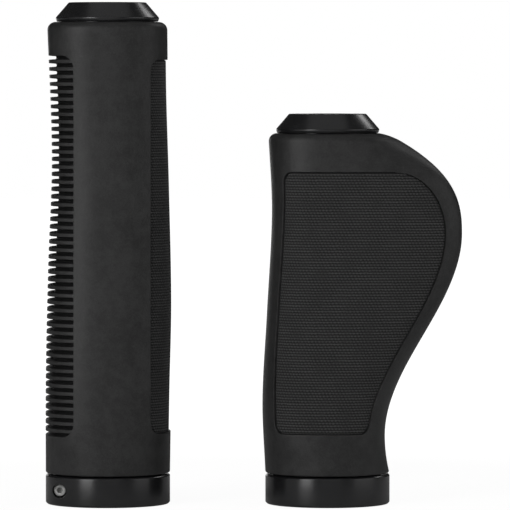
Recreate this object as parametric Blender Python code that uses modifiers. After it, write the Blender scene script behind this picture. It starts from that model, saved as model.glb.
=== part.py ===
"""A pair of ergonomic lock-on handlebar grips, one long and one short, standing on their clamp rings.

Each grip is built in a frame of its own: +Z runs outboard along the handlebar, +X points back to the
palm wing, -Y is the top, where the palm rests, and +Y is the finned underside. The two frames are
empties that stand side by side, with the long grip turned a quarter turn.
"""

import math
from collections import namedtuple

import bmesh
import bpy
from mathutils import Vector

MM = 0.001

# The handlebar that the grips fit, and the clearances between pieces.
BAR_DIAMETER = 22.2 * MM
BAR_INNER_DIAMETER = 18.0 * MM
BAR_CLEARANCE = 0.15 * MM
SEAT_GAP = 0.3 * MM
FASTENER_GAP = 0.2 * MM

# The pair.
AXIS_SPACING = 59.4 * MM
Grip = namedtuple("Grip", "name length frame")

# The split clamp ring, its slit and the notches that the sleeve's keys sit in.
RING_WALL = 5.55 * MM
RING_HEIGHT = 8.1 * MM
RING_EDGE = 0.35 * MM
SLIT_WIDTH = 1.8 * MM
KEY_WIDTH = 4.4 * MM
KEY_DEPTH = 2.2 * MM
KEY_THICKNESS = 2.6 * MM
KEY_HEADINGS = (180.0, 270.0, 0.0)

# The clamp bolt, which crosses the slit, and its washer.
BOLT_DIAMETER = 2.0 * MM
BOLT_HEAD_DIAMETER = 3.3 * MM
BOLT_HEAD_HEIGHT = 2.0 * MM
BOLT_LENGTH = 12.5 * MM
BOLT_SOCKET_WIDTH = 1.5 * MM
BOLT_SOCKET_DEPTH = 1.2 * MM
BOLT_WEB = 0.3 * MM
COUNTERBORE_CLEARANCE = 0.3 * MM
COUNTERBORE_FLOOR = 1.2 * MM
WASHER_THICKNESS = 0.4 * MM

# The nylon sleeve inside the rubber.
SLEEVE_WALL = 1.3 * MM
SLEEVE_SETBACK = 1.0 * MM
FLANGE_WIDTH = 2.0 * MM
FLANGE_THICKNESS = 1.5 * MM

# The rubber body. A swell is how far the outside stands beyond the ring, at a share of the way
# from the ring's face to the outboard end.
FRONT_SWELL = ((0.0, 0.0), (0.21, 0.8 * MM), (0.47, -0.4 * MM), (0.77, -1.75 * MM), (1.0, -0.8 * MM))
TOP_SWELL = (
    (0.0, 0.0),
    (0.18, 0.35 * MM),
    (0.38, 0.85 * MM),
    (0.64, 0.2 * MM),
    (0.84, -0.5 * MM),
    (1.0, -0.65 * MM),
)
UNDER_SWELL = ((0.0, 0.0), (0.23, -0.1 * MM), (0.47, -0.8 * MM), (0.7, -1.8 * MM), (1.0, -0.6 * MM))
SQUARENESS = 2.6
SQUARE_FROM = 12.0 * MM
OUTBOARD_CORNER = 2.2 * MM
INBOARD_CORNER = 0.4 * MM

# The palm wing.
WING_OVERHANG = 19.2 * MM
WING_PEAK_SETBACK = 26.8 * MM
WING_NECK_HEIGHT = 10.4 * MM
WING_NECK_IN = 1.3 * MM
WING_SHOULDER = 2.6
WING_EDGE_RISE = 8.0 * MM
WING_EDGE_DROP = 3.5 * MM
WING_EDGE_DEPTH = 4.0 * MM
WING_TOP_SQUARENESS = 2.5
WING_FULL = 16.0 * MM

# The stiff plate inside the wing.
CORE_THICKNESS = 2.8 * MM
CORE_RISE = 9.5 * MM
CORE_MARGIN = 7.0 * MM
CORE_LEAST_REACH = 1.5 * MM

# The woven palm pad, inlaid in the top.
PAD_THICKNESS = 1.0 * MM
PAD_SUNK = 0.5 * MM
PAD_FRONT_RISE = 12.1 * MM
PAD_OUTBOARD_SETBACK = 10.3 * MM
PAD_INBOARD_SETBACK = 11.6 * MM
PAD_WING_MARGIN = 4.5 * MM
PAD_WING_CORNER = 13.5 * MM
PAD_CORNER = 3.0 * MM

# The end cap, whose base stands out past the sleeve, and the expanding plug that holds it in the bar.
CAP_OVERLAP = 1.45 * MM
CAP_TAPER = 3.6 * MM
CAP_RIM = 1.0 * MM
CAP_HEIGHT = 5.0 * MM
CAP_EDGE = 0.3 * MM
PLUG_SCREW_DIAMETER = 5.0 * MM
PLUG_HEAD_DIAMETER = 8.5 * MM
PLUG_HEAD_HEIGHT = 2.6 * MM
PLUG_HEAD_SUNK = 0.4 * MM
PLUG_SOCKET_WIDTH = 3.0 * MM
PLUG_SOCKET_DEPTH = 1.6 * MM
EXPANDER_CLEARANCE = 0.3 * MM
EXPANDER_LENGTH = 22.0 * MM
EXPANDER_LIP = 1.2 * MM
EXPANDER_SLOT = 2.0 * MM
EXPANDER_SOLID = 6.0 * MM
CONE_START = 8.0 * MM
CONE_SLOPE = 0.28
WEDGE_START = 12.0 * MM
WEDGE_TAIL = 6.0 * MM
WEDGE_KEY_WIDTH = 1.4 * MM
PLUG_SCREW_SPARE = 4.0 * MM

# How finely the curved surfaces are divided.
TURN_STEPS = 48
SMALL_STEPS = 20
FRONT_STEPS = 8
WING_STEPS = 13
TIP_CROWDING = 1.5
BODY_STATIONS = 22
STATION_CROWDING = 1.4
PAD_STATIONS = 14
PAD_STEPS = 12
CORE_STEPS = 10
CORE_SEARCH = 200

# Sizes that follow from the ones above.
BORE_RADIUS = BAR_DIAMETER / 2 + BAR_CLEARANCE
RING_RADIUS = BORE_RADIUS + RING_WALL
RUBBER_START = RING_HEIGHT + SEAT_GAP
SLEEVE_RADIUS = BORE_RADIUS + SLEEVE_WALL
FLANGE_RADIUS = SLEEVE_RADIUS + FLANGE_WIDTH
WING_REACH = RING_RADIUS + WING_OVERHANG
NECK_REACH = RING_RADIUS - WING_NECK_IN
BOLT_HOLE_RADIUS = BOLT_DIAMETER / 2 + FASTENER_GAP
BOLT_OFFSET = BORE_RADIUS + BOLT_WEB + BOLT_HOLE_RADIUS
COUNTERBORE_RADIUS = BOLT_HEAD_DIAMETER / 2 + COUNTERBORE_CLEARANCE
EXPANDER_RADIUS = BAR_INNER_DIAMETER / 2 - EXPANDER_CLEARANCE
PLUG_BORE_RADIUS = PLUG_SCREW_DIAMETER / 2 + SEAT_GAP


# Collections, materials and the two kinds of helper object.


def clear_scene():
    for obj in list(bpy.data.objects):
        bpy.data.objects.remove(obj, do_unlink=True)


def new_collection(name, hidden):
    collection = bpy.data.collections.new(name)
    collection.hide_render = hidden
    bpy.context.scene.collection.children.link(collection)
    return collection


def finish(name, color, roughness, metallic=0.0):
    """A plain material for one kind of piece."""
    material = bpy.data.materials.new(name)
    material.use_nodes = True
    shader = material.node_tree.nodes["Principled BSDF"]
    shader.inputs["Base Color"].default_value = (*color, 1.0)
    shader.inputs["Roughness"].default_value = roughness
    shader.inputs["Metallic"].default_value = metallic
    return material


def add_object(name, mesh, collection, parent):
    obj = bpy.data.objects.new(name, mesh)
    collection.objects.link(obj)
    obj.parent = parent
    return obj


def add_cutter(name, mesh, parent):
    obj = add_object(name, mesh, cutters, parent)
    obj.hide_render = True
    obj.display_type = "WIRE"
    return obj


def shade_round(obj, angle=math.radians(35)):
    obj.data.shade_smooth()
    obj.data.set_sharp_from_angle(angle=angle)


def boolean(obj, other, operation="DIFFERENCE"):
    modifier = obj.modifiers.new(f"{operation.lower()} {other.name}", "BOOLEAN")
    modifier.operation = operation
    modifier.solver = "EXACT"
    modifier.object = other


# Mesh makers.


def turned_mesh(name, profile, closed):
    """The (radius, height) profile of a turned piece, as a line of edges in the XZ plane."""
    mesh = bpy.data.meshes.new(name)
    points = [(radius, 0.0, height) for radius, height in profile]
    edges = [(i, i + 1) for i in range(len(points) - 1)]
    if closed:
        edges.append((len(points) - 1, 0))
    mesh.from_pydata(points, edges, [])
    return mesh


def turn(obj, steps):
    """Turns an object's profile round its own Z axis."""
    screw = obj.modifiers.new("turn", "SCREW")
    screw.axis = "Z"
    screw.angle = 2 * math.pi
    screw.steps = steps
    screw.render_steps = steps
    screw.use_merge_vertices = True
    screw.merge_threshold = 0.000001
    screw.use_smooth_shade = True


def loft_mesh(name, rings):
    """A closed skin through rings of equally many points, capped at both ends."""
    mesh = bpy.data.meshes.new(name)
    form = bmesh.new()
    rows = [[form.verts.new(point) for point in ring] for ring in rings]
    count = len(rows[0])
    for low, high in zip(rows, rows[1:]):
        for i in range(count):
            j = (i + 1) % count
            form.faces.new((low[i], low[j], high[j], high[i]))
    form.faces.new(reversed(rows[0]))
    form.faces.new(rows[-1])
    bmesh.ops.recalc_face_normals(form, faces=form.faces)
    form.to_mesh(mesh)
    form.free()
    return mesh


def box_mesh(name, low, high):
    mesh = bpy.data.meshes.new(name)
    form = bmesh.new()
    bmesh.ops.create_cube(form, size=1.0)
    low, high = Vector(low), Vector(high)
    for vert in form.verts:
        vert.co = (low + high) / 2 + vert.co * (high - low)
    form.to_mesh(mesh)
    form.free()
    return mesh


def prism_mesh(name, radius, low, high, segments):
    """A round or hexagonal bar along Z from low to high."""
    mesh = bpy.data.meshes.new(name)
    form = bmesh.new()
    bmesh.ops.create_cone(
        form, cap_ends=True, segments=segments, radius1=radius, radius2=radius, depth=high - low
    )
    bmesh.ops.translate(form, verts=form.verts, vec=(0.0, 0.0, (low + high) / 2))
    form.to_mesh(mesh)
    form.free()
    return mesh


def hexagon_radius(width):
    """Corner radius of a hexagon that measures width across its flats."""
    return width / math.sqrt(3)


# Curves that shape the rubber body.


def smooth_step(share):
    share = min(max(share, 0.0), 1.0)
    return share * share * (3 - 2 * share)


def along(points, share):
    """Value at a share on one smooth curve through (share, value) points."""
    slopes = []
    for i in range(len(points)):
        before = points[max(i - 1, 0)]
        after = points[min(i + 1, len(points) - 1)]
        slopes.append((after[1] - before[1]) / (after[0] - before[0]))
    for i in range(len(points) - 1):
        (a, low), (b, high) = points[i], points[i + 1]
        if share <= b or i == len(points) - 2:
            break
    t = (share - a) / (b - a)
    span = b - a
    return (
        low * (1 + 2 * t) * (1 - t) ** 2
        + high * t * t * (3 - 2 * t)
        + span * slopes[i] * t * (1 - t) ** 2
        - span * slopes[i + 1] * t * t * (1 - t)
    )


def extent(grip, swell, z):
    share = (z - RUBBER_START) / (grip.length - RUBBER_START)
    return RING_RADIUS + along(swell, min(max(share, 0.0), 1.0))


def wing_extent(grip, z):
    """How far the body reaches back from the bar's axis: a full curve from the outboard end to the
    wing's widest place, an S-curve down to the neck, and a flare out to the ring."""
    peak = grip.length - WING_PEAK_SETBACK
    neck = RING_HEIGHT + WING_NECK_HEIGHT
    if z >= peak:
        end = extent(grip, FRONT_SWELL, grip.length)
        share = min((grip.length - z) / WING_PEAK_SETBACK, 1.0)
        return end + (WING_REACH - end) * (1 - (1 - share) ** WING_SHOULDER)
    if z >= neck:
        return WING_REACH - (WING_REACH - NECK_REACH) * smooth_step((peak - z) / (peak - neck))
    return NECK_REACH + WING_NECK_IN * ((neck - z) / WING_NECK_HEIGHT) ** 2


def wing_share(grip, z):
    """0 where the section is a plain round one, 1 where the wing is fully formed."""
    return smooth_step((wing_extent(grip, z) - RING_RADIUS) / WING_FULL)


def squareness(z):
    """Exponent of the section's superellipse: a circle at the ring, squarer further out."""
    return 2 + (SQUARENESS - 2) * smooth_step((z - RUBBER_START) / SQUARE_FROM)


def quarter(start, end, power, steps=24):
    """A superellipse quarter from start, on the X side, to end, on the Y side."""
    points = []
    for i in range(steps + 1):
        angle = math.pi / 2 * i / steps
        across = math.cos(angle) ** (2 / power) if i < steps else 0.0
        up = math.sin(angle) ** (2 / power)
        points.append(Vector((end.x + (start.x - end.x) * across, start.y + (end.y - start.y) * up)))
    return points


def bezier(a, b, c, d, steps=16):
    points = []
    for i in range(steps + 1):
        t = i / steps
        s = 1 - t
        points.append(a * s**3 + b * 3 * s * s * t + c * 3 * s * t * t + d * t**3)
    return points


def resample(points, steps, start=0.0, end=None, crowding=1.0):
    """Points spaced along a line of points between two lengths, closer at the start if crowded."""
    lengths = [0.0]
    for a, b in zip(points, points[1:]):
        lengths.append(lengths[-1] + (b - a).length)
    end = lengths[-1] if end is None else end
    spaced = []
    at = 0
    for i in range(steps + 1):
        want = start + (end - start) * (i / steps) ** crowding
        while at < len(points) - 2 and lengths[at + 1] < want:
            at += 1
        share = (want - lengths[at]) / (lengths[at + 1] - lengths[at])
        spaced.append(points[at].lerp(points[at + 1], min(share, 1.0)))
    return spaced


def length_where(points, measure):
    """Length along a line of points at which a measure that starts below zero first passes it."""
    length = 0.0
    for a, b in zip(points, points[1:]):
        before, after = measure(a), measure(b)
        if before < 0 <= after:
            return length + (b - a).length * before / (before - after)
        length += (b - a).length
    return length


def under_wing(tip, body, under, power):
    """The line from the wing's tip round its edge, along its underside and into the round body."""
    lip = Vector((tip.x - WING_EDGE_DEPTH, tip.y + WING_EDGE_DROP))
    low = quarter(body, under, power)
    join = low[len(low) // 2]
    lead = (low[len(low) // 2 - 1] - join).normalized()
    reach = lip.x - join.x
    fillet = bezier(lip, lip - Vector((0.6 * reach, 0.0)), join + lead * 0.45 * reach, join)
    return quarter(tip, lip, 2.0) + fillet[1:] + low[len(low) // 2 + 1 :]


def quadrants(grip, z):
    """The section's four quarters at height z: front to top, top to wing tip, wing tip to
    underside, underside to front."""
    power = squareness(z)
    share = wing_share(grip, z)
    front = Vector((-extent(grip, FRONT_SWELL, z), 0.0))
    top = Vector((0.0, -extent(grip, TOP_SWELL, z)))
    under = Vector((0.0, extent(grip, UNDER_SWELL, z)))
    tip = Vector((wing_extent(grip, z), -WING_EDGE_RISE * share))
    side = Vector((min(tip.x, RING_RADIUS), 0.0))
    top_power = power + (WING_TOP_SQUARENESS - power) * share
    crowding = 1 + (TIP_CROWDING - 1) * share
    over = resample(quarter(tip, top, top_power), WING_STEPS, crowding=crowding)
    plain = resample(quarter(Vector((tip.x, 0.0)), under, power), WING_STEPS, crowding=crowding)
    winged = resample(under_wing(tip, side, under, power), WING_STEPS, crowding=crowding)
    return (
        resample(quarter(front, top, power), FRONT_STEPS),
        over[::-1],
        [a.lerp(b, share) for a, b in zip(plain, winged)],
        resample(quarter(front, under, power), FRONT_STEPS)[::-1],
    )


def moved_out(points, distance, closed):
    """A line of section points, moved outwards along its normals."""
    moved = []
    last = len(points) - 1
    for i, point in enumerate(points):
        before = points[i - 1] if closed or i > 0 else point
        after = points[(i + 1) % len(points)] if closed or i < last else point
        heading = (after - before).normalized()
        moved.append(point + Vector((heading.y, -heading.x)) * distance)
    return moved


def body_ring(grip, z, inset):
    ring = [point for part in quadrants(grip, z) for point in part[:-1]]
    return [(p.x, p.y, z) for p in moved_out(ring, -inset, closed=True)]


def body_heights(grip):
    """Heights of the rubber's sections, with how far each is drawn in by an edge radius."""
    low = RUBBER_START
    high = grip.length
    heights = [(low, INBOARD_CORNER)]
    first = low + INBOARD_CORNER
    last = high - OUTBOARD_CORNER
    peak = high - WING_PEAK_SETBACK
    shares = [1 - (1 - i / BODY_STATIONS) ** STATION_CROWDING for i in range(BODY_STATIONS)]
    between = {first + (last - first) * share for share in shares}
    nearest = min(between, key=lambda z: abs(z - peak))
    between = (between - {nearest}) | {peak}
    heights += [(z, 0.0) for z in sorted(between)]
    for degrees in (0, 30, 60, 90):
        angle = math.radians(degrees)
        inset = OUTBOARD_CORNER * (1 - math.cos(angle))
        heights.append((last + OUTBOARD_CORNER * math.sin(angle), inset))
    return heights


# The woven pad's place in the top.


def pad_wing_edge(grip, z):
    """How far back the pad reaches from the bar's axis at height z."""
    peak = grip.length - WING_PEAK_SETBACK
    high = grip.length - PAD_OUTBOARD_SETBACK
    if z > peak:
        share = min((z - peak) / (high - peak), 1.0)
        reach = WING_REACH - PAD_WING_MARGIN
        return reach - PAD_WING_CORNER * (1 - math.sqrt(1 - share * share))
    return wing_extent(grip, z) - PAD_WING_MARGIN


def pad_line(grip, z, grow):
    """The section's line across the pad at height z, from its front edge to its wing edge."""
    low = RING_HEIGHT + PAD_INBOARD_SETBACK
    high = grip.length - PAD_OUTBOARD_SETBACK
    front_top, top_wing, _, _ = quadrants(grip, z)
    line = front_top + top_wing[1:]
    edge = pad_wing_edge(grip, min(max(z, low), high))
    into_corner = PAD_CORNER - min(max(min(z - low, high - z), 0.0), PAD_CORNER)
    rounding = PAD_CORNER - math.sqrt(PAD_CORNER**2 - into_corner**2)
    start = length_where(line, lambda point: -point.y - PAD_FRONT_RISE) + rounding - grow
    end = length_where(line, lambda point: point.x - edge) + grow
    if z < (low + high) / 2:
        end -= rounding
    return resample(line, PAD_STEPS, start, end)


def pad_rings(grip, outer, inner, grow):
    """Rings of a slab that follows the top, between two offsets from its surface."""
    low = RING_HEIGHT + PAD_INBOARD_SETBACK - grow
    high = grip.length - PAD_OUTBOARD_SETBACK + grow
    rings = []
    for i in range(PAD_STATIONS + 1):
        z = low + (high - low) * (1 - math.cos(math.pi * i / PAD_STATIONS)) / 2
        line = pad_line(grip, z, grow)
        outside = moved_out(line, outer, closed=False)
        inside = moved_out(line, inner, closed=False)
        rings.append([(p.x, p.y, z) for p in outside + inside[::-1]])
    return rings


# The pieces of one grip.


def make_clamp_ring(grip):
    """Split ring, bored for the bar, with notches for the sleeve's keys and a hole for the bolt."""
    profile = (
        (RING_RADIUS - RING_EDGE, RING_HEIGHT),
        (RING_RADIUS, RING_HEIGHT - RING_EDGE),
        (RING_RADIUS, RING_EDGE),
        (RING_RADIUS - RING_EDGE, 0.0),
        (BORE_RADIUS, 0.0),
        (BORE_RADIUS, RING_HEIGHT),
    )
    ring = add_object(f"{grip.name}_clamp_ring", turned_mesh("clamp_ring", profile, True), parts, grip.frame)
    turn(ring, TURN_STEPS)
    ring.data.materials.append(anodised_black)
    low = (-SLIT_WIDTH / 2, BORE_RADIUS / 2, -RING_HEIGHT)
    high = (SLIT_WIDTH / 2, RING_RADIUS * 2, RING_HEIGHT * 2)
    slit = box_mesh("slit", low, high)
    boolean(ring, add_cutter(f"{grip.name}_slit", slit, grip.frame))
    for number, heading in enumerate(KEY_HEADINGS, 1):
        boolean(ring, make_key(f"{grip.name}_notch_{number}", grip, heading, SEAT_GAP))
    boolean(ring, make_bolt_hole(grip))
    return ring


def make_key(name, grip, heading, clearance):
    """A key of the sleeve, or with a clearance the notch that it sits in."""
    low = RING_HEIGHT - KEY_DEPTH + SEAT_GAP - clearance
    high = RING_HEIGHT + SEAT_GAP + FLANGE_THICKNESS / 2
    half = KEY_WIDTH / 2 + clearance
    near = BORE_RADIUS + SLEEVE_WALL / 2 - 3 * clearance
    far = BORE_RADIUS + KEY_THICKNESS + clearance
    key = add_cutter(name, box_mesh("key", (near, -half, low), (far, half, high)), grip.frame)
    key.rotation_euler.z = math.radians(heading)
    return key


def counterbore_floor():
    """Distance from the slit's middle to the face under the bolt's head, clear of the bar's bore."""
    inner = BOLT_OFFSET - COUNTERBORE_RADIUS
    return math.sqrt(max(BORE_RADIUS**2 - inner**2, 0.0)) + COUNTERBORE_FLOOR


def place_on_bolt_axis(obj):
    """Puts an object's Z axis on the bolt's axis, pointing out of the front, from the slit."""
    obj.location = (0.0, BOLT_OFFSET, RING_HEIGHT / 2)
    obj.rotation_euler = (0.0, -math.pi / 2, 0.0)


def make_bolt_hole(grip):
    """Stepped hole: a blind shank hole across the slit and a counterbore out of the front."""
    floor = counterbore_floor()
    end = floor + FASTENER_GAP * 2 + WASHER_THICKNESS - BOLT_LENGTH - BOLT_WEB
    profile = (
        (0.0, RING_RADIUS * 1.5),
        (COUNTERBORE_RADIUS, RING_RADIUS * 1.5),
        (COUNTERBORE_RADIUS, floor),
        (BOLT_HOLE_RADIUS, floor),
        (BOLT_HOLE_RADIUS, end),
        (0.0, end),
    )
    hole = add_cutter(f"{grip.name}_bolt_hole", turned_mesh("bolt_hole", profile, False), grip.frame)
    turn(hole, SMALL_STEPS)
    place_on_bolt_axis(hole)
    return hole


def make_clamp_washer(grip):
    low = counterbore_floor() + FASTENER_GAP
    high = low + WASHER_THICKNESS
    outer = BOLT_HEAD_DIAMETER / 2 + COUNTERBORE_CLEARANCE / 3
    inner = BOLT_HOLE_RADIUS
    profile = ((outer, high), (outer, low), (inner, low), (inner, high))
    washer = add_object(f"{grip.name}_clamp_washer", turned_mesh("washer", profile, True), parts, grip.frame)
    turn(washer, SMALL_STEPS)
    place_on_bolt_axis(washer)
    washer.data.materials.append(bright_steel)


def make_clamp_bolt(grip):
    seat = counterbore_floor() + FASTENER_GAP * 2 + WASHER_THICKNESS
    top = seat + BOLT_HEAD_HEIGHT
    edge = BOLT_HEAD_HEIGHT / 6
    head = BOLT_HEAD_DIAMETER / 2
    shank = BOLT_DIAMETER / 2
    profile = (
        (0.0, top),
        (head - edge, top),
        (head, top - edge),
        (head, seat),
        (shank, seat),
        (shank, seat - BOLT_LENGTH + edge),
        (shank - edge, seat - BOLT_LENGTH),
        (0.0, seat - BOLT_LENGTH),
    )
    bolt = add_object(f"{grip.name}_clamp_bolt", turned_mesh("clamp_bolt", profile, False), parts, grip.frame)
    turn(bolt, SMALL_STEPS)
    place_on_bolt_axis(bolt)
    bolt.data.materials.append(bright_steel)
    radius = hexagon_radius(BOLT_SOCKET_WIDTH)
    socket = prism_mesh("socket", radius, top - BOLT_SOCKET_DEPTH, top + BOLT_SOCKET_DEPTH, 6)
    cutter = add_cutter(f"{grip.name}_bolt_socket", socket, grip.frame)
    place_on_bolt_axis(cutter)
    boolean(bolt, cutter)


def make_core_sleeve(grip):
    """Nylon tube with a flange behind the ring and keys that stop it turning in the ring."""
    low = RUBBER_START
    high = grip.length - SLEEVE_SETBACK
    profile = (
        (SLEEVE_RADIUS, high),
        (SLEEVE_RADIUS, low + FLANGE_THICKNESS),
        (FLANGE_RADIUS, low + FLANGE_THICKNESS),
        (FLANGE_RADIUS, low),
        (BORE_RADIUS, low),
        (BORE_RADIUS, high),
    )
    outline = turned_mesh("core_sleeve", profile, True)
    sleeve = add_object(f"{grip.name}_core_sleeve", outline, parts, grip.frame)
    turn(sleeve, TURN_STEPS)
    sleeve.data.materials.append(nylon)
    for number, heading in enumerate(KEY_HEADINGS, 1):
        key = make_key(f"{grip.name}_key_{number}", grip, heading, 0.0)
        boolean(sleeve, key, "UNION")


def make_sleeve_space(grip):
    """Cutter for what the sleeve and its flange fill, with their clearance."""
    low = RUBBER_START - SEAT_GAP
    step = RUBBER_START + FLANGE_THICKNESS + SEAT_GAP
    high = grip.length + OUTBOARD_CORNER
    bore = SLEEVE_RADIUS + SEAT_GAP
    flange = FLANGE_RADIUS + SEAT_GAP
    profile = ((0.0, high), (bore, high), (bore, step), (flange, step), (flange, low), (0.0, low))
    space = add_cutter(f"{grip.name}_sleeve_space", turned_mesh("sleeve_space", profile, False), grip.frame)
    turn(space, TURN_STEPS)
    return space


def core_rings(grip, clearance):
    """Rings of the wing plate, which keeps a margin inside the wing's outline."""
    reach = SLEEVE_RADIUS + CORE_LEAST_REACH
    low = RUBBER_START
    high = grip.length
    heights = [low + (high - low) * i / CORE_SEARCH for i in range(CORE_SEARCH + 1)]
    inside = [z for z in heights if wing_extent(grip, z) - CORE_MARGIN > reach and z < high - CORE_MARGIN]
    start, end = inside[0] - clearance, inside[-1] + clearance
    top = -CORE_RISE - CORE_THICKNESS / 2 - clearance
    under = -CORE_RISE + CORE_THICKNESS / 2 + clearance
    rings = []
    for i in range(CORE_STEPS + 1):
        z = start + (end - start) * i / CORE_STEPS
        far = max(wing_extent(grip, min(max(z, inside[0]), inside[-1])) - CORE_MARGIN, reach) + clearance
        near = SLEEVE_RADIUS / 4
        rings.append([(near, top, z), (far, top, z), (far, under, z), (near, under, z)])
    return rings


def make_wing_core(grip):
    """Stiff plate that holds the wing up, cut round where it lies against the sleeve."""
    plate = loft_mesh("wing_core", core_rings(grip, 0.0))
    core = add_object(f"{grip.name}_wing_core", plate, parts, grip.frame)
    core.data.materials.append(nylon)
    radius = SLEEVE_RADIUS + SEAT_GAP
    space = prism_mesh("core_space", radius, 0.0, grip.length * 2, TURN_STEPS)
    boolean(core, add_cutter(f"{grip.name}_core_space", space, grip.frame))


def make_rubber_body(grip):
    """Moulded rubber, with the space for the sleeve, the wing plate's pocket and the pad's recess."""
    rings = [body_ring(grip, z, inset) for z, inset in body_heights(grip)]
    body = add_object(f"{grip.name}_rubber_body", loft_mesh("rubber_body", rings), parts, grip.frame)
    shade_round(body)
    body.data.materials.append(rubber)
    boolean(body, make_sleeve_space(grip))
    pocket = loft_mesh("pocket", core_rings(grip, SEAT_GAP))
    boolean(body, add_cutter(f"{grip.name}_pocket", pocket, grip.frame))
    depth = PAD_SUNK + PAD_THICKNESS + SEAT_GAP
    recess = loft_mesh("recess", pad_rings(grip, PAD_THICKNESS * 2, -depth, SEAT_GAP))
    boolean(body, add_cutter(f"{grip.name}_recess", recess, grip.frame))


def make_palm_pad(grip):
    slab = pad_rings(grip, -PAD_SUNK, -PAD_SUNK - PAD_THICKNESS, 0.0)
    pad = add_object(f"{grip.name}_palm_pad", loft_mesh("palm_pad", slab), parts, grip.frame)
    shade_round(pad)
    pad.data.materials.append(weave)


def make_end_cap(grip):
    """Cone-shaped cap, bored for the plug's screw."""
    low = grip.length + SEAT_GAP
    high = low + CAP_HEIGHT
    base = SLEEVE_RADIUS + CAP_OVERLAP
    top = base - CAP_TAPER
    seat = high - PLUG_HEAD_SUNK - PLUG_HEAD_HEIGHT - FASTENER_GAP
    pocket = PLUG_HEAD_DIAMETER / 2 + SEAT_GAP
    profile = (
        (pocket, high),
        (top - CAP_EDGE, high),
        (top, high - CAP_EDGE),
        (base, low + CAP_RIM),
        (base, low + CAP_EDGE),
        (base - CAP_EDGE, low),
        (PLUG_BORE_RADIUS, low),
        (PLUG_BORE_RADIUS, seat),
        (pocket, seat),
    )
    cap = add_object(f"{grip.name}_end_cap", turned_mesh("end_cap", profile, True), parts, grip.frame)
    turn(cap, TURN_STEPS)
    cap.data.materials.append(anodised_black)


def make_plug_screw(grip):
    """Socket screw from the cap down through the wedge."""
    top = grip.length + SEAT_GAP + CAP_HEIGHT - PLUG_HEAD_SUNK
    seat = top - PLUG_HEAD_HEIGHT
    end = grip.length - EXPANDER_LENGTH - WEDGE_TAIL - PLUG_SCREW_SPARE
    edge = PLUG_HEAD_HEIGHT / 8
    head = PLUG_HEAD_DIAMETER / 2
    shank = PLUG_SCREW_DIAMETER / 2
    profile = (
        (0.0, top),
        (head - edge, top),
        (head, top - edge),
        (head, seat),
        (shank, seat),
        (shank, end + edge),
        (shank - edge, end),
        (0.0, end),
    )
    outline = turned_mesh("plug_screw", profile, False)
    screw = add_object(f"{grip.name}_plug_screw", outline, parts, grip.frame)
    turn(screw, SMALL_STEPS)
    screw.data.materials.append(dark_steel)
    radius = hexagon_radius(PLUG_SOCKET_WIDTH)
    socket = prism_mesh("plug_socket", radius, top - PLUG_SOCKET_DEPTH, top + PLUG_SOCKET_DEPTH, 6)
    boolean(screw, add_cutter(f"{grip.name}_plug_socket", socket, grip.frame))


def cone_radius(depth):
    """Radius of the expander's tapered bore at a depth below the outboard end."""
    return PLUG_BORE_RADIUS + CONE_SLOPE * (depth - CONE_START)


def make_plug_expander(grip):
    """Nylon sleeve inside the bar's end, slotted so that the wedge can spread it."""
    high = grip.length
    low = high - EXPANDER_LENGTH
    lip = EXPANDER_RADIUS + EXPANDER_CLEARANCE + BAR_CLEARANCE
    profile = (
        (lip, high),
        (lip, high - EXPANDER_LIP),
        (EXPANDER_RADIUS, high - EXPANDER_LIP),
        (EXPANDER_RADIUS, low),
        (cone_radius(EXPANDER_LENGTH), low),
        (PLUG_BORE_RADIUS, high - CONE_START),
        (PLUG_BORE_RADIUS, high),
    )
    name = f"{grip.name}_plug_expander"
    expander = add_object(name, turned_mesh("plug_expander", profile, True), parts, grip.frame)
    turn(expander, TURN_STEPS // 2)
    expander.data.materials.append(nylon)
    reach = EXPANDER_RADIUS * 2
    half = EXPANDER_SLOT / 2
    for number, (x, y) in enumerate(((reach, half), (half, reach)), 1):
        slot = box_mesh("slot", (-x, -y, low - EXPANDER_SLOT), (x, y, high - EXPANDER_SOLID))
        boolean(expander, add_cutter(f"{grip.name}_slot_{number}", slot, grip.frame))


def make_plug_wedge(grip):
    """Tapered nut that the screw draws into the expander, kept from turning by keys in its slots."""
    high = grip.length - WEDGE_START
    mouth = grip.length - EXPANDER_LENGTH
    low = mouth - WEDGE_TAIL
    wide = cone_radius(EXPANDER_LENGTH) - SEAT_GAP
    inner = PLUG_SCREW_DIAMETER / 2 + FASTENER_GAP
    profile = (
        (cone_radius(WEDGE_START) - SEAT_GAP, high),
        (wide, mouth),
        (wide, low),
        (inner, low),
        (inner, high),
    )
    wedge = add_object(f"{grip.name}_plug_wedge", turned_mesh("plug_wedge", profile, True), parts, grip.frame)
    turn(wedge, TURN_STEPS // 2)
    wedge.data.materials.append(bare_aluminium)
    half = WEDGE_KEY_WIDTH / 2
    near = (inner + wide) / 2
    for number, side in enumerate((-1, 1), 1):
        xs = sorted((side * near, side * (EXPANDER_RADIUS - SEAT_GAP)))
        key = box_mesh("wedge_key", (xs[0], -half, low + SEAT_GAP), (xs[1], half, mouth + WEDGE_TAIL / 2))
        boolean(wedge, add_cutter(f"{grip.name}_wedge_key_{number}", key, grip.frame), "UNION")


# The whole pair.


def make_frame(name, x, heading):
    """Empty on a grip's bar axis. The pair's box is centred on the origin."""
    widest_front = RING_RADIUS + max(value for _, value in FRONT_SWELL)
    widest_top = RING_RADIUS + max(value for _, value in TOP_SWELL)
    empty = bpy.data.objects.new(f"{name}_frame", None)
    parts.objects.link(empty)
    empty.location = (x, (max(widest_front, widest_top) - WING_REACH) / 2, 0.0)
    empty.rotation_euler.z = heading
    return empty


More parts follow.
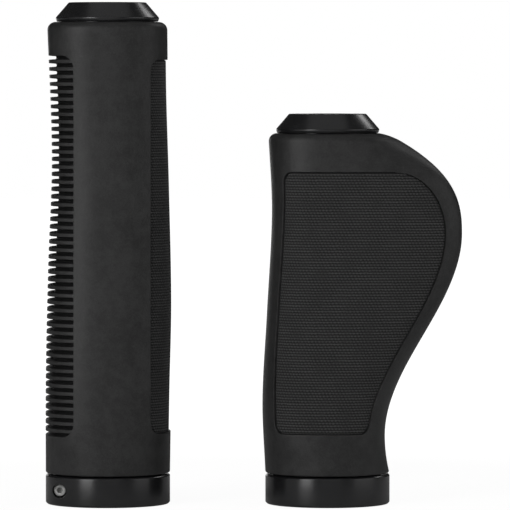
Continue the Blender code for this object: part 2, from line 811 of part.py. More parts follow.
def make_grip(grip):
    make_clamp_ring(grip)
    make_clamp_washer(grip)
    make_clamp_bolt(grip)
    make_core_sleeve(grip)
    make_wing_core(grip)
    make_rubber_body(grip)
    make_palm_pad(grip)
    make_end_cap(grip)
    make_plug_screw(grip)
    make_plug_expander(grip)
    make_plug_wedge(grip)


clear_scene()
parts = new_collection("Ergonomic grips", hidden=False)
cutters = new_collection("Cutters", hidden=True)

anodised_black = finish("Anodised black", (0.020, 0.020, 0.021), 0.38, 0.6)
bright_steel = finish("Bright steel", (0.60, 0.60, 0.58), 0.30, 1.0)
dark_steel = finish("Dark steel", (0.10, 0.10, 0.10), 0.40, 1.0)
bare_aluminium = finish("Bare aluminium", (0.65, 0.65, 0.66), 0.40, 1.0)
nylon = finish("Glass-filled nylon", (0.012, 0.012, 0.012), 0.60)
rubber = finish("Rubber", (0.026, 0.026, 0.026), 0.75)
weave = finish("Woven pad", (0.028, 0.028, 0.029), 0.85)

long_x = RING_RADIUS - (AXIS_SPACING + WING_REACH + RING_RADIUS) / 2
short_x = long_x + AXIS_SPACING
make_grip(Grip("long", 130.0 * MM, make_frame("long", long_x, math.pi / 2)))
make_grip(Grip("short", 100.0 * MM, make_frame("short", short_x, 0.0)))
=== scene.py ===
"""The finished looks of a pair of lock-on handlebar grips, built around their working parts."""

import math

import bmesh
import bpy
import numpy as np
from mathutils import Matrix, Vector


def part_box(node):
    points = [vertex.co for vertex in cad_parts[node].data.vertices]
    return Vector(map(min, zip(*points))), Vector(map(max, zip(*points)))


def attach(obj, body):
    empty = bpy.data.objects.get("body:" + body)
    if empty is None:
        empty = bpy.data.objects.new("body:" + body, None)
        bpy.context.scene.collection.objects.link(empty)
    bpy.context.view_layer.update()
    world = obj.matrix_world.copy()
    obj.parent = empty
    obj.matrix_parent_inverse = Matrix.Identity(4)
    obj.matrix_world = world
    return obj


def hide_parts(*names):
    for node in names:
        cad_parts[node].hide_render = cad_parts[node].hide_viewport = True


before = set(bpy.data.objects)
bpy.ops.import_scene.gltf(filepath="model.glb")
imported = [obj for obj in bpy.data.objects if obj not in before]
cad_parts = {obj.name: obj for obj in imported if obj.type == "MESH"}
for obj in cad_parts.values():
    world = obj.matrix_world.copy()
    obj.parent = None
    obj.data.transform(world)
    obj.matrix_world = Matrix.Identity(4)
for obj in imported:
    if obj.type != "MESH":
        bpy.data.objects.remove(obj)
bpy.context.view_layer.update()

MM = 0.001


# The studio: a long lens a little above the middle of the grips, a tall soft strip on the left of
# the camera, weaker fills round the front, and boxes behind and overhead that light the edges.

CAMERA_DISTANCE = 1.35
CAMERA_HEIGHT = 119.0 * MM
CAMERA_PITCH = math.radians(2.2)
CAMERA_ACROSS = 0.5 * MM
LENS = 353.0
ROOM_LEVEL = 0.03

bpy.context.scene.view_settings.view_transform = "Standard"

lens = bpy.data.cameras.new("studio_camera")
lens.lens = LENS
lens.clip_end = 20.0
camera = bpy.data.objects.new("studio_camera", lens)
bpy.context.scene.collection.objects.link(camera)
axes_y = sum(corner.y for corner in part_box("long_end_cap")) / 2
camera.location = (CAMERA_ACROSS, axes_y - CAMERA_DISTANCE, CAMERA_HEIGHT)
camera.rotation_euler = (math.pi / 2 - CAMERA_PITCH, 0.0, 0.0)
bpy.context.scene.camera = camera


def soft_box(name, aim, distance, size, power):
    """An area light seen from the middle of the pair in the direction aim, facing that middle."""
    light = bpy.data.lights.new(name, "AREA")
    light.shape = "RECTANGLE"
    light.size, light.size_y = size
    light.energy = power
    lamp = bpy.data.objects.new(name, light)
    bpy.context.scene.collection.objects.link(lamp)
    aim = Vector(aim).normalized()
    lamp.location = aim * distance + Vector((0.0, 0.0, CAMERA_HEIGHT / 2))
    lamp.rotation_euler = aim.to_track_quat("Z", "Y").to_euler()
    lamp.visible_camera = False


soft_box("key_strip", (-0.635, -0.772, 0.05), 1.1, (0.42, 1.5), 8.8)
soft_box("front_fill", (0.12, -0.93, 0.34), 1.5, (1.0, 1.0), 1.6)
soft_box("left_fill", (-0.97, -0.2, 0.25), 1.2, (0.6, 1.2), 0.6)
soft_box("right_fill", (0.93, -0.3, 0.25), 1.2, (1.0, 1.2), 3.2)
soft_box("back_glow", (-0.15, 0.98, 0.03), 1.3, (0.6, 0.25), 0.8)
soft_box("cap_box", (0.53, 0.60, 0.60), 1.2, (0.24, 0.30), 0.75)
soft_box("overhead_box", (0.0, -0.1, 1.0), 1.0, (1.0, 0.8), 0.8)

world = bpy.data.worlds.new("studio")
bpy.context.scene.world = world
world.use_nodes = True
air = world.node_tree
seen = air.nodes.new("ShaderNodeLightPath")
level = air.nodes.new("ShaderNodeMath")
level.operation = "MULTIPLY_ADD"
level.inputs[1].default_value = 1.0 - ROOM_LEVEL
level.inputs[2].default_value = ROOM_LEVEL
air.links.new(seen.outputs["Is Camera Ray"], level.inputs[0])
air.nodes["Background"].inputs["Color"].default_value = (1.0, 1.0, 1.0, 1.0)
air.links.new(level.outputs[0], air.nodes["Background"].inputs["Strength"])


# The floor: a wide sheet of white paper that the pair stands on. Its finish is a Finish, as every
# finish here is: one Principled shader, varied by patterns worked out over the surface.

SWEEP_HALF = 3.0
PAPER_GLOW = 1.12
PAPER_NEAR = 0.85
PAPER_FADE = (0.12, 0.3)


class Wire:
    """One output in a finish. The arithmetic signs join it to numbers and other outputs."""

    def __init__(self, finish, socket):
        self.finish = finish
        self.socket = socket

    def math(self, operation, *values):
        return self.finish.add("ShaderNodeMath", {"operation": operation}, dict(enumerate(values)))

    def __add__(self, other):
        return self.math("ADD", self, other)

    def __radd__(self, other):
        return self.math("ADD", other, self)

    def __sub__(self, other):
        return self.math("SUBTRACT", self, other)

    def __rsub__(self, other):
        return self.math("SUBTRACT", other, self)

    def __mul__(self, other):
        return self.math("MULTIPLY", self, other)

    def __rmul__(self, other):
        return self.math("MULTIPLY", other, self)

    def __truediv__(self, other):
        return self.math("DIVIDE", self, other)

    def __pow__(self, other):
        return self.math("POWER", self, other)

    def sine(self):
        return self.math("SINE", self)

    def between(self, low, high):
        """0 below low, 1 above high, and a smooth rise between them."""
        settings = {"interpolation_type": "SMOOTHSTEP"}
        return self.finish.add("ShaderNodeMapRange", settings, {0: self, 1: low, 2: high})


class Finish:
    """A material with one Principled shader, and the nodes that vary it."""

    def __init__(self, name, **settings):
        self.material = bpy.data.materials.new(name)
        self.material.use_nodes = True
        self.tree = self.material.node_tree
        self.shader = self.tree.nodes["Principled BSDF"]
        for key, value in settings.items():
            self.shader.inputs[key.replace("_", " ")].default_value = value

    def add(self, kind, settings=None, inputs=None, output=0):
        node = self.tree.nodes.new(kind)
        for key, value in (settings or {}).items():
            setattr(node, key, value)
        for key, value in (inputs or {}).items():
            self.feed(node.inputs[key], value)
        return Wire(self, node.outputs[output])

    def feed(self, socket, value):
        if isinstance(value, Wire):
            self.tree.links.new(value.socket, socket)
        else:
            socket.default_value = value

    def place(self):
        return self.add("ShaderNodeTexCoord", output="Object")

    def noise(self, place, grain, detail=2.0, roughness=0.5):
        """Cloudy variation from 0 to 1, with clouds about grain metres across."""
        inputs = {"Vector": place, "Scale": 1.0 / grain, "Detail": detail, "Roughness": roughness}
        return self.add("ShaderNodeTexNoise", inputs=inputs)

    def mix(self, share, first, second):
        """Goes from the first colour to the second as share rises; each is a tuple or a Wire."""
        colours = [ink if isinstance(ink, Wire) else (*ink, 1.0) for ink in (first, second)]
        inputs = {0: share, 6: colours[0], 7: colours[1]}
        return self.add("ShaderNodeMix", {"data_type": "RGBA"}, inputs, 2)

    def relief(self, height, depth):
        """Small relief: height runs from 0 to 1 for a real depth in metres."""
        bump = self.add("ShaderNodeBump", inputs={"Height": height, "Distance": depth, "Strength": 1.0})
        self.feed(self.shader.inputs["Normal"], bump)

    def vary(self, key, value):
        self.feed(self.shader.inputs[key], value)


sweep = bpy.data.meshes.new("sweep")
form = bmesh.new()
for x, y in ((-1, -1), (1, -1), (1, 1), (-1, 1)):
    form.verts.new((x * SWEEP_HALF, y * SWEEP_HALF, 0.0))
form.faces.new(form.verts)
form.to_mesh(sweep)
form.free()
floor = bpy.data.objects.new("sweep", sweep)
bpy.context.scene.collection.objects.link(floor)
paper = Finish("white_paper", Roughness=0.9)
spot = paper.place()
fibre = paper.noise(spot, 2.0 * MM).between(0.2, 0.8)
paper.vary("Base Color", paper.mix(fibre, (0.90, 0.90, 0.90), (0.93, 0.93, 0.93)))
far = paper.add("ShaderNodeVectorMath", {"operation": "LENGTH"}, {0: spot}, "Value")
away = far.between(*PAPER_FADE)
straight = paper.add("ShaderNodeLightPath", output="Is Camera Ray")
light = {"Color": (1.0, 1.0, 1.0, 1.0), "Strength": PAPER_GLOW}
glow = paper.add("ShaderNodeEmission", inputs=light)
lit = straight * (PAPER_NEAR + (1 - PAPER_NEAR) * away)
shown = paper.add("ShaderNodeMixShader", inputs={0: lit, 2: glow})
paper.tree.links.new(paper.shader.outputs[0], shown.socket.node.inputs[1])
paper.tree.links.new(shown.socket, paper.tree.nodes["Material Output"].inputs["Surface"])
sweep.materials.append(paper.material)


# Where the two grips stand. A grip has axes of its own: z runs outboard along the bar, x back to
# the palm wing, -y up to where the palm rests and y down to the fins.


class Grip:
    def __init__(self, name, heading):
        self.name = name
        low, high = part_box(f"{name}_end_cap")
        middle = Vector(((low.x + high.x) / 2, (low.y + high.y) / 2, 0.0))
        self.to_world = Matrix.Translation(middle) @ Matrix.Rotation(heading, 4, "Z")
        self.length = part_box(f"{name}_plug_expander")[1].z
        self.ring_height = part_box(f"{name}_clamp_ring")[1].z
        self.ring_radius = self.box("clamp_ring")[1].x
        self.rubber_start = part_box(f"{name}_rubber_body")[0].z
        self.wing_reach = self.box("rubber_body")[1].x

    def box(self, piece):
        """Lowest and highest corner of a CAD piece, in the grip's own axes."""
        corners = [self.to_world.inverted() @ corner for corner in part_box(f"{self.name}_{piece}")]
        return Vector(map(min, *corners)), Vector(map(max, *corners))

    def fit(self, piece, mesh, finish, body, slot, place=None):
        """Puts a finished piece where the CAD piece of that name is, in its stead."""
        mesh.transform(self.to_world @ (place or Matrix.Identity(4)))
        obj = bpy.data.objects.new(f"{self.name}_{piece}_finished", mesh)
        bpy.context.scene.collection.objects.link(obj)
        mesh.materials.clear()
        mesh.materials.append(finish.material)
        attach(obj, f"{self.name}_{body}")
        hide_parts(f"{self.name}_{piece}")
        return obj


grips = (Grip("long", math.pi / 2), Grip("short", 0.0))


# The rubber bodies: soft black rubber, moulded over the sleeve in one shot. The outline swells for
# the hand, grows into the palm wing, and is cut by a comb of slots that leaves fins underneath.

# Each swell gives shares of the rubber's height, and how far it stands out past the ring in mm.
FRONT_SWELL = ((0.0, 0.21, 0.47, 0.77, 1.0), (0.0, 0.8, -0.4, -1.75, -0.8))
TOP_SWELL = ((0.0, 0.18, 0.38, 0.64, 0.84, 1.0), (0.0, 0.35, 0.85, 0.2, -0.5, -0.65))
UNDER_SWELL = ((0.0, 0.23, 0.47, 0.7, 1.0), (0.0, -0.1, -0.8, -1.8, -0.6))
SQUARENESS = 2.6
SQUARE_FROM = 12.0 * MM
WING_PEAK_SETBACK = 26.8 * MM
WING_NECK_HEIGHT = 10.4 * MM
WING_NECK_IN = 1.3 * MM
WING_SHOULDER = 2.6
WING_EDGE_RISE = 8.0 * MM
WING_EDGE_DROP = 3.5 * MM
WING_EDGE_DEPTH = 4.0 * MM
WING_TOP_SQUARENESS = 2.5
WING_FULL = 16.0 * MM
WING_CROWDING = 1.5
LIP_PULL = 0.6
ROOT_PULL = 0.45
SECTION_STEPS = 96
NORMAL_REACH = 0.25 * MM
PLAIN_ROWS = 60
CLOSEST_ROWS = 0.012 * MM
OUTBOARD_CORNER = 2.2 * MM
INBOARD_CORNER = 0.4 * MM

PAD_FRONT_RISE = 12.1 * MM
PAD_OUTBOARD_SETBACK = 10.3 * MM
PAD_INBOARD_SETBACK = 11.6 * MM
PAD_WING_MARGIN = 4.5 * MM
PAD_WING_CORNER = 13.5 * MM
PAD_CORNER = 3.0 * MM
PAD_SUNK = 0.5 * MM
PAD_THICKNESS = 1.0 * MM
RECESS_DEPTH = 1.65 * MM
RECESS_GAP = 0.15 * MM

FIN_PITCH = 2.02 * MM
FIN_INBOARD_SETBACK = 11.3 * MM
FIN_OUTBOARD_SETBACK = 9.6 * MM
FIN_SLOT_DEPTH = 2.05 * MM
FIN_ZONE_DROP = 8.8 * MM
FIN_ZONE_CORNER = 3.5 * MM
ROOT_WALL = 0.3 * MM

BORE_RADIUS = 11.25 * MM
SLEEVE_RADIUS = 12.55 * MM
FLANGE_RADIUS = 14.55 * MM
FLANGE_THICKNESS = 1.5 * MM
SLEEVE_GAP = 0.3 * MM


def smooth_step(share):
    share = min(max(share, 0.0), 1.0)
    return share * share * (3 - 2 * share)


def along(points, share):
    """Value at a share on one smooth curve through the points, whose values are in millimetres."""
    at, values = points
    slopes = []
    for i in range(len(at)):
        before, after = max(i - 1, 0), min(i + 1, len(at) - 1)
        slopes.append((values[after] - values[before]) / (at[after] - at[before]))
    share = min(max(share, 0.0), 1.0)
    i = 0
    while i < len(at) - 2 and share > at[i + 1]:
        i += 1
    span = at[i + 1] - at[i]
    t = (share - at[i]) / span
    rise = values[i] * (1 + 2 * t) * (1 - t) ** 2 + values[i + 1] * t * t * (3 - 2 * t)
    lean = slopes[i] * t * (1 - t) ** 2 - slopes[i + 1] * t * t * (1 - t)
    return (rise + span * lean) * MM


def extent(grip, swell, z):
    share = (z - grip.rubber_start) / (grip.length - grip.rubber_start)
    return grip.ring_radius + along(swell, share)


def wing_extent(grip, z):
    """How far the body reaches back: round to the widest place, in to the neck, out to the ring."""
    peak = grip.length - WING_PEAK_SETBACK
    neck = grip.ring_height + WING_NECK_HEIGHT
    neck_reach = grip.ring_radius - WING_NECK_IN
    if z >= peak:
        end = extent(grip, FRONT_SWELL, grip.length)
        share = min((grip.length - z) / WING_PEAK_SETBACK, 1.0)
        return end + (grip.wing_reach - end) * (1 - (1 - share) ** WING_SHOULDER)
    if z >= neck:
        drop = smooth_step((peak - z) / (peak - neck))
        return grip.wing_reach - (grip.wing_reach - neck_reach) * drop
    return neck_reach + WING_NECK_IN * ((neck - z) / WING_NECK_HEIGHT) ** 2


def quarter(start, end, power, steps=64):
    """A superellipse quarter from start, on the X side, to end, on the Y side."""
    angle = np.linspace(0.0, math.pi / 2, steps + 1)
    across = np.clip(np.cos(angle), 0.0, 1.0) ** (2 / power)
    up = np.sin(angle) ** (2 / power)
    return np.stack((end[0] + (start[0] - end[0]) * across, start[1] + (end[1] - start[1]) * up), 1)


def lengths_of(points):
    return np.concatenate(((0.0,), np.cumsum(np.hypot(*np.diff(points, axis=0).T))))


def respaced(points, steps, crowding):
    lengths = lengths_of(points)
    want = lengths[-1] * np.linspace(0.0, 1.0, steps + 1) ** crowding
    return np.stack([np.interp(want, lengths, points[:, axis]) for axis in (0, 1)], 1)


def under_wing(tip, side, under, power):
    """From the wing's tip round its edge, along its underside and into the round body."""
    lip = np.array((tip[0] - WING_EDGE_DEPTH, tip[1] + WING_EDGE_DROP))
    low = quarter(side, under, power)
    half = len(low) // 2
    lead = low[half - 1] - low[half]
    lead = lead / np.hypot(*lead)
    reach = lip[0] - low[half][0]
    t = np.linspace(0.0, 1.0, 33)[:, None]
    hold = lip - np.array((LIP_PULL * reach, 0.0))
    meet = low[half] + lead * ROOT_PULL * reach
    leaving = lip * (1 - t) ** 3 + hold * 3 * t * (1 - t) ** 2
    fillet = leaving + meet * 3 * t * t * (1 - t) + low[half] * t**3
    return np.concatenate((quarter(tip, lip, 2.0), fillet[1:], low[half + 1 :]))


class Section:
    """The rubber's closed outline at one height, as a line measured from the middle of the front,
    over the top, round the wing's tip and back along the underside."""

    def __init__(self, grip, z):
        self.z = z
        self.grip = grip
        power = 2 + (SQUARENESS - 2) * smooth_step((z - grip.rubber_start) / SQUARE_FROM)
        wing = wing_extent(grip, z)
        share = smooth_step((wing - grip.ring_radius) / WING_FULL)
        front = (-extent(grip, FRONT_SWELL, z), 0.0)
        top = (0.0, -extent(grip, TOP_SWELL, z))
        under = (0.0, extent(grip, UNDER_SWELL, z))
        tip = (wing, -WING_EDGE_RISE * share)
        side = (min(wing, grip.ring_radius), 0.0)
        crowding = 1 + (WING_CROWDING - 1) * share
        top_power = power + (WING_TOP_SQUARENESS - power) * share
        over = respaced(quarter(tip, top, top_power), SECTION_STEPS, crowding)
        plain = respaced(quarter((wing, 0.0), under, power), SECTION_STEPS, crowding)
        winged = respaced(under_wing(tip, side, under, power), SECTION_STEPS, crowding)
        below = plain + (winged - plain) * share
        fore = quarter(front, under, power)[::-1]
        parts = (quarter(front, top, power), over[::-1][1:], below[1:], fore[1:])
        self.points = np.concatenate(parts)
        self.lengths = lengths_of(self.points)
        ends = np.cumsum([len(part) for part in parts]) - 1
        self.top, self.tip, self.under, self.total = self.lengths[ends]

    def at(self, s):
        s = np.mod(s, self.total)
        return np.stack([np.interp(s, self.lengths, self.points[:, axis]) for axis in (0, 1)], -1)

    def outward(self, s):
        """Outward normals, smoothed over a short stretch of the line."""
        heading = self.at(s + NORMAL_REACH) - self.at(s - NORMAL_REACH)
        heading /= np.hypot(heading[:, 0], heading[:, 1])[:, None]
        return np.stack((heading[:, 1], -heading[:, 0]), 1)

    def passing(self, values, start, end):
        """Length between start and end where the values first pass from below zero to above it."""
        inside = (self.lengths >= start) & (self.lengths <= end)
        lengths, values = self.lengths[inside], values[inside]
        passed = np.flatnonzero((values[:-1] < 0) & (values[1:] >= 0))
        if not len(passed):
            return end
        i = passed[0]
        return lengths[i] + (lengths[i + 1] - lengths[i]) * values[i] / (values[i] - values[i + 1])


def corner_rounding(inside, radius):
    """How far a border is drawn in where it is less than a corner's radius from its end."""
    into = radius - min(max(inside, 0.0), radius)
    return radius - math.sqrt(radius**2 - into**2)


def pad_ends(grip):
    return grip.ring_height + PAD_INBOARD_SETBACK, grip.length - PAD_OUTBOARD_SETBACK


def pad_borders(section, grow=0.0):
    """Lengths along the section of the pad's front border and its wing border."""
    grip = section.grip
    low, high = pad_ends(grip)
    z = min(max(section.z, low), high)
    peak = grip.length - WING_PEAK_SETBACK
    edge = wing_extent(grip, z) - PAD_WING_MARGIN
    if z > peak:
        share = (z - peak) / (high - peak)
        drawn_in = PAD_WING_CORNER * (1 - math.sqrt(1 - share * share))
        edge = grip.wing_reach - PAD_WING_MARGIN - drawn_in
    front = section.passing(-section.points[:, 1] - PAD_FRONT_RISE, 0.0, section.top)
    wing = section.passing(section.points[:, 0] - edge, section.top, section.tip)
    rounding = corner_rounding(min(section.z + grow - low, high + grow - section.z), PAD_CORNER)
    front += rounding - grow
    wing += grow
    if z < (low + high) / 2:
        wing -= rounding
    return front, wing


def fin_centres(grip):
    low = grip.ring_height + FIN_INBOARD_SETBACK
    high = grip.length - FIN_OUTBOARD_SETBACK
    count = round((high - low) / FIN_PITCH)
    return np.linspace(low, high, count + 1)


# How far from a slot's middle its depth has fallen to each share of the whole.
SLOT_AT = np.array((0.20, 0.37, 0.43, 0.52, 0.59)) * MM
SLOT_FALL = (1.0, 0.94, 0.6, 0.07, 0.0)
SLOT_HALF = SLOT_AT[3]


def fin_borders(section):
    """Lengths along the section of the slots' ends, on the wing's side and at the front."""
    centres = fin_centres(section.grip)
    inside = min(section.z - centres[0], centres[-1] - section.z) + SLOT_HALF
    rounding = corner_rounding(inside, FIN_ZONE_CORNER)
    fore = section.passing(FIN_ZONE_DROP - section.points[:, 1], section.under, section.total)
    rear = 2 * section.under - fore
    return rear + rounding, fore - rounding


# How far past a border a wall has fallen to each share of its depth.
WALL_AT = np.array((-0.22, -0.1, 0.0, 0.07, 0.12)) * MM
WALL_FALL = (0.0, 0.0, 0.035, 0.3, 1.0)


def columns(section):
    """Lengths along the section at which the skin has points, close together at each border."""
    front, wing = pad_borders(section, RECESS_GAP)
    rear, fore = fin_borders(section)
    spread = np.linspace(0.0, 1.0, 27)
    return np.concatenate(
        (
            np.linspace(0.0, front + WALL_AT[0], 9, endpoint=False),
            front + WALL_AT,
            np.linspace(front + WALL_AT[-1], wing - WALL_AT[-1], 26)[1:-1],
            (wing - WALL_AT)[::-1],
            wing - WALL_AT[0] + (section.tip - wing + WALL_AT[0]) * (1 - (1 - spread[1::2]) ** 1.5),
            section.tip + (rear + WALL_AT[0] - section.tip) * spread[1:-1] ** 1.6,
            rear + WALL_AT,
            np.linspace(rear + WALL_AT[-1], fore - WALL_AT[-1], 28)[1:-1],
            (fore - WALL_AT)[::-1],
            np.linspace(fore - WALL_AT[0], section.total, 10)[1:-1],
        )
    )


def relief_depth(section, s, points):
    """How far the skin lies below the outline: the pad's recess, and the slots between the fins."""
    front, wing = pad_borders(section, RECESS_GAP)
    low, high = pad_ends(section.grip)
    across = np.minimum(s - front, wing - s)
    lengthways = min(section.z - low, high - section.z) + RECESS_GAP
    recess = RECESS_DEPTH * np.interp(np.minimum(across, lengthways), WALL_AT, WALL_FALL)
    rear, fore = fin_borders(section)
    off = np.min(np.abs(fin_centres(section.grip) - section.z))
    slot = FIN_SLOT_DEPTH * np.interp(off, SLOT_AT, SLOT_FALL)
    slot = slot * np.interp(np.minimum(s - rear, fore - s), WALL_AT, WALL_FALL)
    floor = SLEEVE_RADIUS + SLEEVE_GAP + ROOT_WALL
    slot = np.minimum(slot, np.maximum(np.hypot(points[:, 0], points[:, 1]) - floor, 0.0))
    return recess, slot


def rubber_rows(grip):
    """Heights of the skin's rows, each with how far its corner radius draws it in."""
    low, high = grip.rubber_start, grip.length
    rows = {}
    for degrees in (0, 30, 60):
        angle = math.radians(degrees)
        rows[low + INBOARD_CORNER * (1 - math.cos(angle))] = INBOARD_CORNER * (1 - math.sin(angle))
    for z in np.linspace(low + INBOARD_CORNER, high - OUTBOARD_CORNER, PLAIN_ROWS):
        rows[float(z)] = 0.0
    for centre in fin_centres(grip):
        for off in (*-SLOT_AT, *SLOT_AT):
            rows[float(centre + off)] = 0.0
    pad_low, pad_high = pad_ends(grip)
    for off in (*(WALL_AT / MM - 0.15), 0.2, 0.5, 0.9, 1.4, 2.0):
        rows[pad_low + off * MM] = 0.0
        rows[pad_high - off * MM] = 0.0
    for degrees in range(10, 91, 10):
        angle = math.radians(degrees)
        z = high - OUTBOARD_CORNER + OUTBOARD_CORNER * math.sin(angle)
        rows[z] = OUTBOARD_CORNER * (1 - math.cos(angle))
    kept = []
    for z in sorted(rows):
        if not kept or z - kept[-1] > CLOSEST_ROWS:
            kept.append(z)
    return [(z, rows[z]) for z in kept]


def grid_mesh(name, rows, wrapped):
    """A skin over closed rows of equally many points; wrapped joins the last row to the first."""
    rows = np.asarray(rows)
    count, across = rows.shape[:2]
    index = np.arange(count * across).reshape(count, across)
    if wrapped:
        index = np.vstack((index, index[:1]))
    low, high = index[:-1], index[1:]
    quads = np.stack((low, np.roll(low, -1, 1), np.roll(high, -1, 1), high), -1).reshape(-1, 4)
    faces = quads.tolist()
    if not wrapped:
        faces += [index[0][::-1].tolist(), index[-1].tolist()]
    mesh = bpy.data.meshes.new(name)
    mesh.from_pydata(rows.reshape(-1, 3).tolist(), [], faces)
    return mesh


def shade(mesh, degrees=38):
    mesh.shade_smooth()
    mesh.set_sharp_from_angle(angle=math.radians(degrees))


def rubber_mesh(grip):
    rows, shadow = [], []
    for z, inset in rubber_rows(grip):
        section = Section(grip, z)
        s = columns(section)
        points = section.at(s)
        recess, slot = relief_depth(section, s, points)
        points = points - section.outward(s) * (np.maximum(recess, slot) + inset)[:, None]
        rows.append(np.column_stack((points, np.full(len(s), z))))
        # Each point's share of the slot depth, which the rubber's finish uses for painted shade in the
        # slots.
        shadow.append(slot / FIN_SLOT_DEPTH)
    bore = SLEEVE_RADIUS + SLEEVE_GAP
    seat = FLANGE_RADIUS + SLEEVE_GAP
    step = grip.rubber_start + FLANGE_THICKNESS + SLEEVE_GAP
    inner = ((bore, grip.length), (bore, step), (seat, step), (seat, grip.rubber_start))
    angle = np.arctan2(rows[-1][:, 1], rows[-1][:, 0])
    for radius, z in inner:
        across, up = radius * np.cos(angle), radius * np.sin(angle)
        rows.append(np.column_stack((across, up, np.full(len(angle), z))))
        shadow.append(np.zeros(len(angle)))
    mesh = grid_mesh("rubber_body", rows, wrapped=True)
    depth = mesh.attributes.new("slot_depth", "FLOAT", "POINT")
    depth.data.foreach_set("value", np.concatenate(shadow).astype(np.float32))
    shade(mesh)
    return mesh


rubber = Finish("moulded_rubber", Specular_IOR_Level=0.42)
surface = rubber.place()
clouds = rubber.noise(surface, 11.0 * MM, 3.0, 0.55)
mottle = rubber.noise(surface, 2.6 * MM, 5.0, 0.7)
grain = rubber.noise(surface, 0.45 * MM, 3.0, 0.7)
depth = rubber.add("ShaderNodeAttribute", {"attribute_name": "slot_depth"}, output="Fac")
# Painted shade: inside the slots between the fins the base colour goes nearly black, where shade falls;
# the slots are made rougher as well.
slot_shade = depth.between(0.1, 0.8)
bloom = (clouds * 0.25 + mottle * 0.45 + grain * 0.3).between(0.36, 0.64)
skin = rubber.mix(bloom, (0.016,) * 3, (0.035,) * 3)
rubber.vary("Base Color", rubber.mix(slot_shade, skin, (0.004,) * 3))
rubber.vary("Roughness", 0.36 + 0.12 * clouds + 0.14 * mottle + 0.3 * slot_shade)
rubber.relief(grain * 0.5 + mottle, 0.08 * MM)

for grip in grips:
    body = grip.fit("rubber_body", rubber_mesh(grip), rubber, "grip", "grip_rubber")


# The palm pads: a woven black fabric bonded to a thin backing, cut to shape and moulded into the
# rubber a little below its surface, with its edges rolled down into the groove round it.

PAD_EDGE_RADIUS = 0.3 * MM
RIB_PITCH = 1.46 * MM
DOT_PITCH = 0.945 * MM
PICKS_PER_RIB = 2
PICK_STAGGER = 0.37
ENDWAYS_WANDER = 0.14
SIDEWAYS_WANDER = 0.6
DITCH_LAG = 2.6
THREAD_SHARPNESS = 1.6
WEAVE_RELIEF = 0.09 * MM


def pad_drop(inside):
    """How far the pad's face has rolled down at a distance inside its border."""
    into = PAD_EDGE_RADIUS - np.clip(inside, 0.0, PAD_EDGE_RADIUS)
    return PAD_EDGE_RADIUS - np.sqrt(PAD_EDGE_RADIUS**2 - into**2)


def pad_mesh(grip):
    """The pad, with the place in the cloth of each point, and the cut's width, length and area."""
    low, high = pad_ends(grip)
    edge = np.array((0.0, 0.02, 0.06, 0.12, 0.2, 0.3)) * MM
    steps = np.linspace(edge[-1], high - low - edge[-1], 70)[1:-1]
    heights = low + np.concatenate((edge, steps, (high - low - edge)[::-1]))
    rows, places, widths = [], [], []
    for z in heights:
        section = Section(grip, float(z))
        front, wing = pad_borders(section)
        inner = np.linspace(front + edge[-1], wing - edge[-1], 40)[1:-1]
        s = np.concatenate((front + edge, inner, (wing - edge)[::-1]))
        inside = np.minimum(np.minimum(s - front, wing - s), min(z - low, high - z))
        face = section.at(s) - section.outward(s) * (PAD_SUNK + pad_drop(inside))[:, None]
        back = section.at(s) - section.outward(s) * (PAD_SUNK + PAD_THICKNESS)
        ring = np.concatenate((face, back[::-1]))
        rows.append(np.column_stack((ring, np.full(len(ring), z))))
        around = np.concatenate((s, s[::-1])) - section.top
        places.append(np.column_stack((around, np.full(len(around), z), np.zeros(len(around)))))
        widths.append(wing - front)
    mesh = grid_mesh("palm_pad", rows, wrapped=False)
    cloth = mesh.attributes.new("cloth_place", "FLOAT_VECTOR", "POINT")
    cloth.data.foreach_set("vector", np.concatenate(places).astype(np.float32).ravel())
    shade(mesh, 50)
    area = float(np.sum(np.diff(heights) * (np.array(widths[1:]) + np.array(widths[:-1])) / 2))
    return mesh, (max(widths), high - low), area


weave = Finish("woven_pad", Specular_IOR_Level=0.3, Sheen_Weight=0.05, Sheen_Roughness=0.5)
cloth = weave.add("ShaderNodeAttribute", {"attribute_name": "cloth_place"}, output="Vector")
wander = weave.noise(cloth, 1.6 * MM, 2.0)
patches = weave.noise(cloth, 3.2 * MM, 2.0)
tension = weave.noise(cloth, 7.0 * MM, 2.0)
fuzz = weave.noise(cloth, 0.3 * MM, 3.0, 0.7)
lengthwise = weave.add("ShaderNodeSeparateXYZ", inputs={0: cloth}, output=1)
endways = lengthwise / RIB_PITCH + ENDWAYS_WANDER * wander
pick = endways.math("FLOOR", endways * PICKS_PER_RIB + 0.25)
crosswise = weave.add("ShaderNodeSeparateXYZ", inputs={0: cloth})
sideways = crosswise / DOT_PITCH + PICK_STAGGER * pick + SIDEWAYS_WANDER * wander
rib = 0.5 + 0.5 * (endways * 2 * math.pi).sine()
pick_wave = endways * (2 * PICKS_PER_RIB) * math.pi
thread = (0.5 + 0.5 * pick_wave.sine()) ** THREAD_SHARPNESS
ditch = (0.5 + 0.5 * (pick_wave + DITCH_LAG).sine()) ** THREAD_SHARPNESS
dot = 0.5 + 0.5 * (sideways * 2 * math.pi).sine()
open_weave = 0.45 + 0.55 * patches.between(0.3, 0.62)
knots = thread * dot * open_weave
pits = ditch * (1 - dot) * open_weave
tight_ribs = rib * thread * tension.between(0.38, 0.62)
cords = 0.31 + 0.16 * thread + 0.22 * tight_ribs
height = cords + 0.40 * knots - 0.36 * pits + 0.75 * (fuzz - 0.5)
# Painted shade and light: the base colour follows the weave's height, near black down in the pits and
# between the threads, and lighter on the raised threads and knots.
weave.vary("Base Color", weave.mix(height.between(0.0, 1.0), (0.005,) * 3, (0.080,) * 3))
weave.vary("Roughness", 0.7 + 0.2 * fuzz)
weave.relief(height, WEAVE_RELIEF)

for grip in grips:
    mesh, flat, area = pad_mesh(grip)
    pad = grip.fit("palm_pad", mesh, weave, "grip", "woven_pad")


# The clamp rings: turned from aluminium bar, bored for the handlebar, slit and drilled for the
# bolt, blasted to a fine satin and anodised black.

